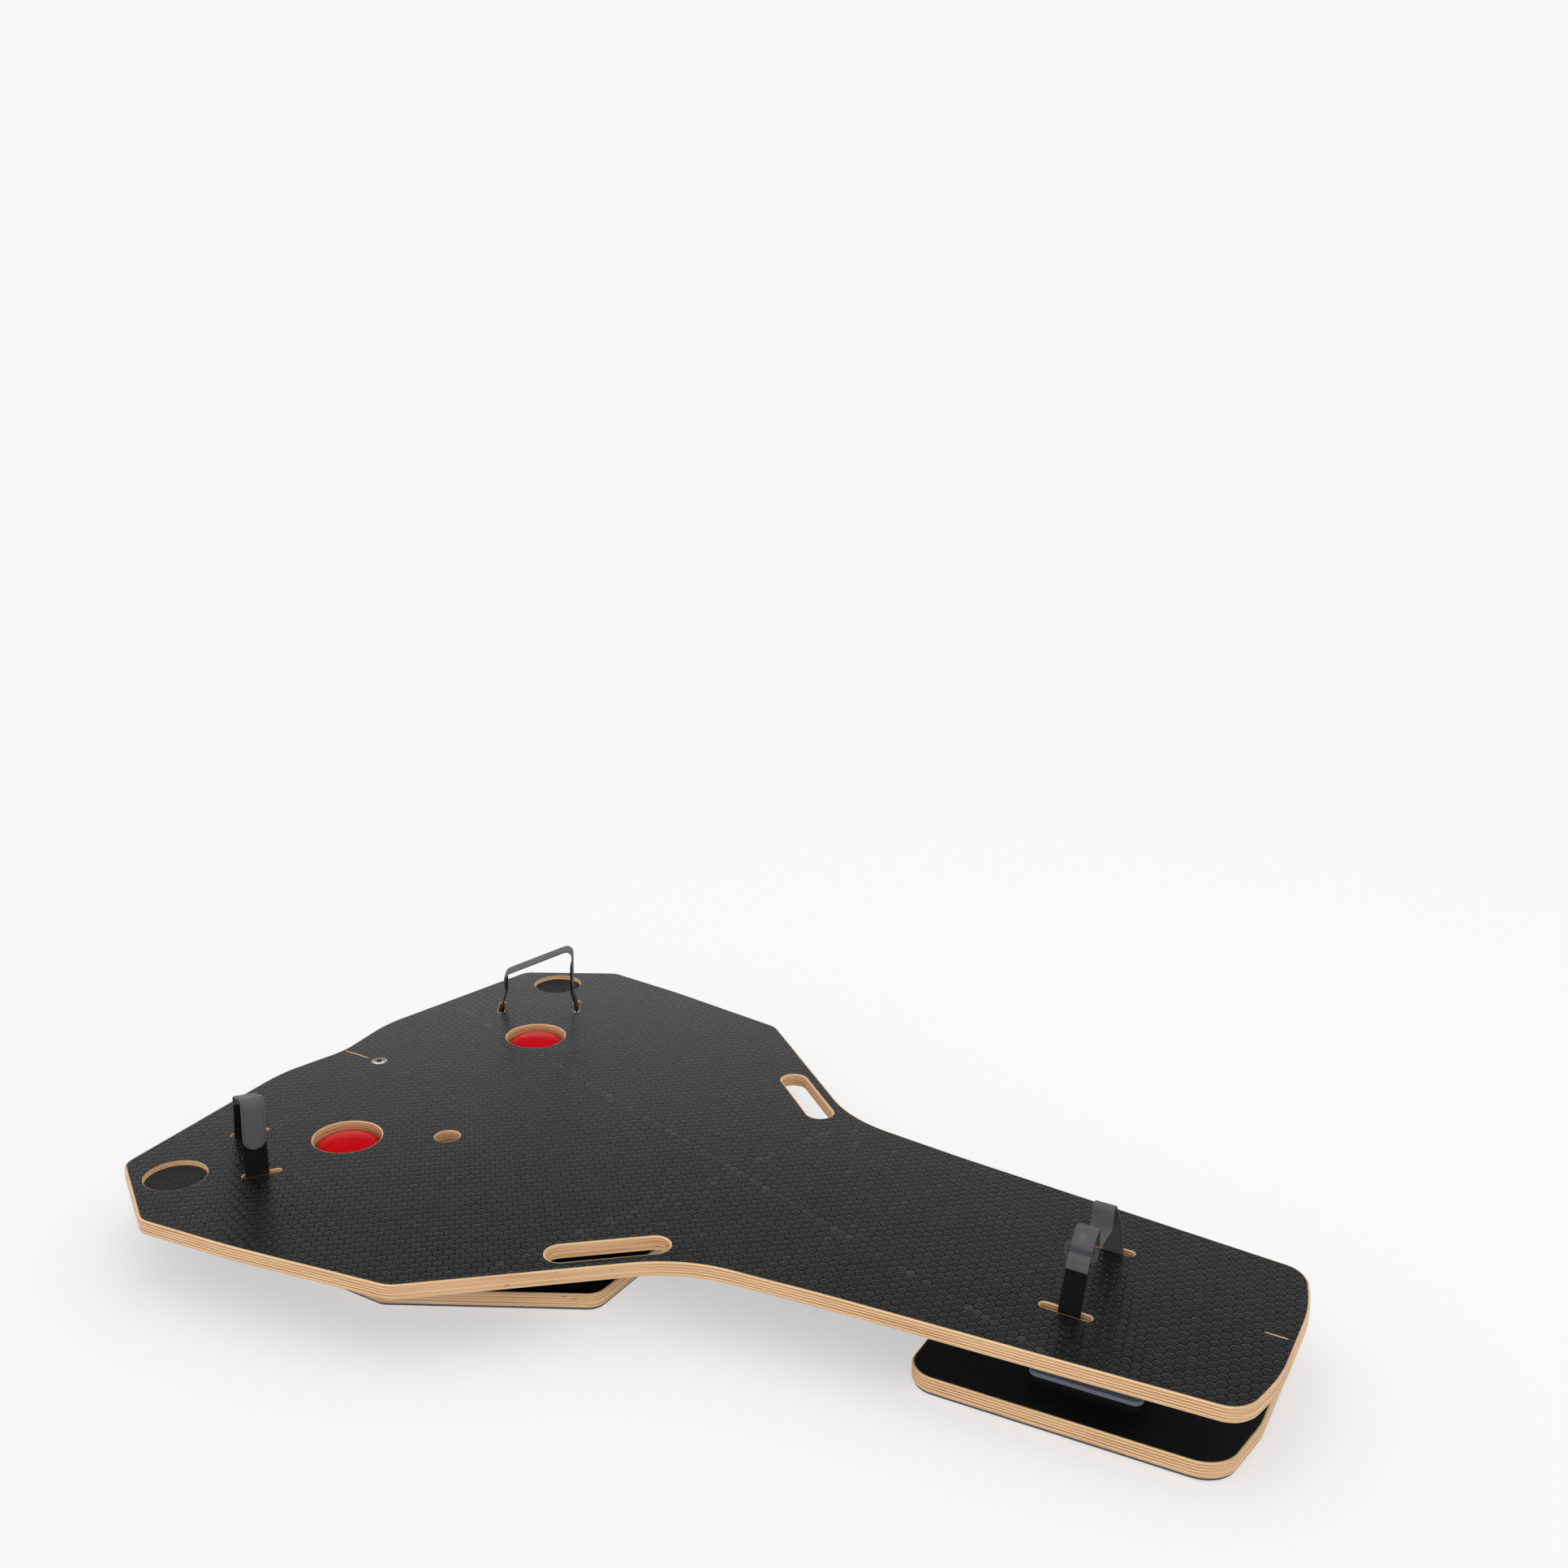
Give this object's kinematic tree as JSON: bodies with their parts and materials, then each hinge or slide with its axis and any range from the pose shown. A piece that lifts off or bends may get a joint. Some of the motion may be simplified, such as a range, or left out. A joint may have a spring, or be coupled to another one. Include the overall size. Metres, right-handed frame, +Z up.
{
  "type": "bicycle trainer rocker plate",
  "caption": "Plywood platform under an indoor bicycle trainer: the deck rolls from side to side on a shaft, sprung by air balls, and slides to and fro on low-friction pads.",
  "frame": {"origin": "on the floor below the middle of the deck's length and width", "axes": "+X along the deck towards its narrow nose, +Y to the left side seen from the tail, +Z up from the floor"},
  "size_m": [1.3666, 0.9292, 0.1863],
  "materials": {
    "film_plywood": "black film-faced birch plywood with a fine raised hexagon relief on the deck and bare lacquered edges",
    "mat_rubber": "matt dark grey non-slip mat",
    "grey_glide": "smooth blue-grey low-friction plastic",
    "black_steel": "black powder coat",
    "zinc_steel": "bright zinc",
    "black_rubber": "matt black rubber",
    "aluminium_plate": "mill finish",
    "stainless": "ground stainless steel",
    "bronze": "sintered bronze",
    "black_plastic": "fine matt black",
    "red_rubber": "glossy bright red, slightly wrinkled",
    "black_webbing": "woven black webbing"
  },
  "bodies": {
    "base": {"rear_base_plate": "film_plywood", "rear_base_mat": "mat_rubber", "front_base_plate": "film_plywood", "front_base_mat": "mat_rubber", "front_glide_pad": "grey_glide", "rear_glide_pad": "grey_glide", "guide_rail_left": "black_steel", "guide_rail_right": "black_steel", "guide_rail_screw_1": "zinc_steel", "guide_rail_screw_2": "zinc_steel", "guide_rail_screw_3": "zinc_steel", "guide_rail_screw_4": "zinc_steel", "front_end_stop": "black_rubber", "rear_end_stop": "black_rubber"},
    "carriage": {"carriage_plate": "aluminium_plate", "rear_pillow_block": "black_steel", "front_pillow_block": "black_steel", "pillow_block_bolt_1": "zinc_steel", "pillow_block_bolt_2": "zinc_steel", "pillow_block_bolt_3": "zinc_steel", "pillow_block_bolt_4": "zinc_steel", "shaft_set_screw_1": "black_steel", "shaft_set_screw_2": "black_steel", "roll_shaft": "stainless", "thrust_washer_1": "bronze", "thrust_washer_2": "bronze", "ball_cup_left": "black_plastic", "ball_cup_right": "black_plastic", "air_ball_left": "red_rubber", "air_ball_right": "red_rubber", "ball_plug_left": "red_rubber", "ball_plug_right": "red_rubber"},
    "deck": {"deck_plate": "film_plywood", "foot_pad_left": "black_rubber", "foot_pad_right": "black_rubber", "centre_screw": "stainless", "rear_hinge_block": "black_steel", "front_hinge_block": "black_steel", "hinge_bushing_1": "bronze", "hinge_bushing_2": "bronze", "hinge_block_screw_1": "zinc_steel", "hinge_block_screw_2": "zinc_steel", "hinge_block_screw_3": "zinc_steel", "hinge_block_screw_4": "zinc_steel", "nose_hinge_block": "black_steel", "nose_block_screw_1": "zinc_steel", "nose_block_screw_2": "zinc_steel", "front_strap": "black_webbing", "front_strap_buckle": "black_plastic", "rear_strap_left": "black_webbing", "rear_strap_right": "black_webbing"},
    "nose": {"nose_shoe": "black_plastic", "nose_clevis": "black_steel", "nose_clevis_screw_1": "zinc_steel", "nose_clevis_screw_2": "zinc_steel", "nose_pin": "stainless", "nose_pin_clip_1": "zinc_steel", "nose_pin_clip_2": "zinc_steel"}
  },
  "joints": [
    {"name": "fore_aft", "type": "slide", "parent": "base", "child": "carriage", "axis": [1, 0, 0], "range_m": [-0.035, 0.035]},
    {"name": "roll", "type": "hinge", "parent": "carriage", "child": "deck", "pos_m": [0, 0, 0.0513], "axis": [1, 0, 0], "range_deg": [-6, 6], "stiffness_Nm_per_rad": 1400, "deforming": ["air_ball_left", "air_ball_right"]},
    {"name": "nose_glide", "type": "slide", "parent": "base", "child": "nose", "axis": [1, 0, 0], "range_m": [-0.035, 0.035]}
  ],
  "couplings": [
    {"joint": "nose_glide", "follows": "fore_aft", "ratio": 1}
  ]
}
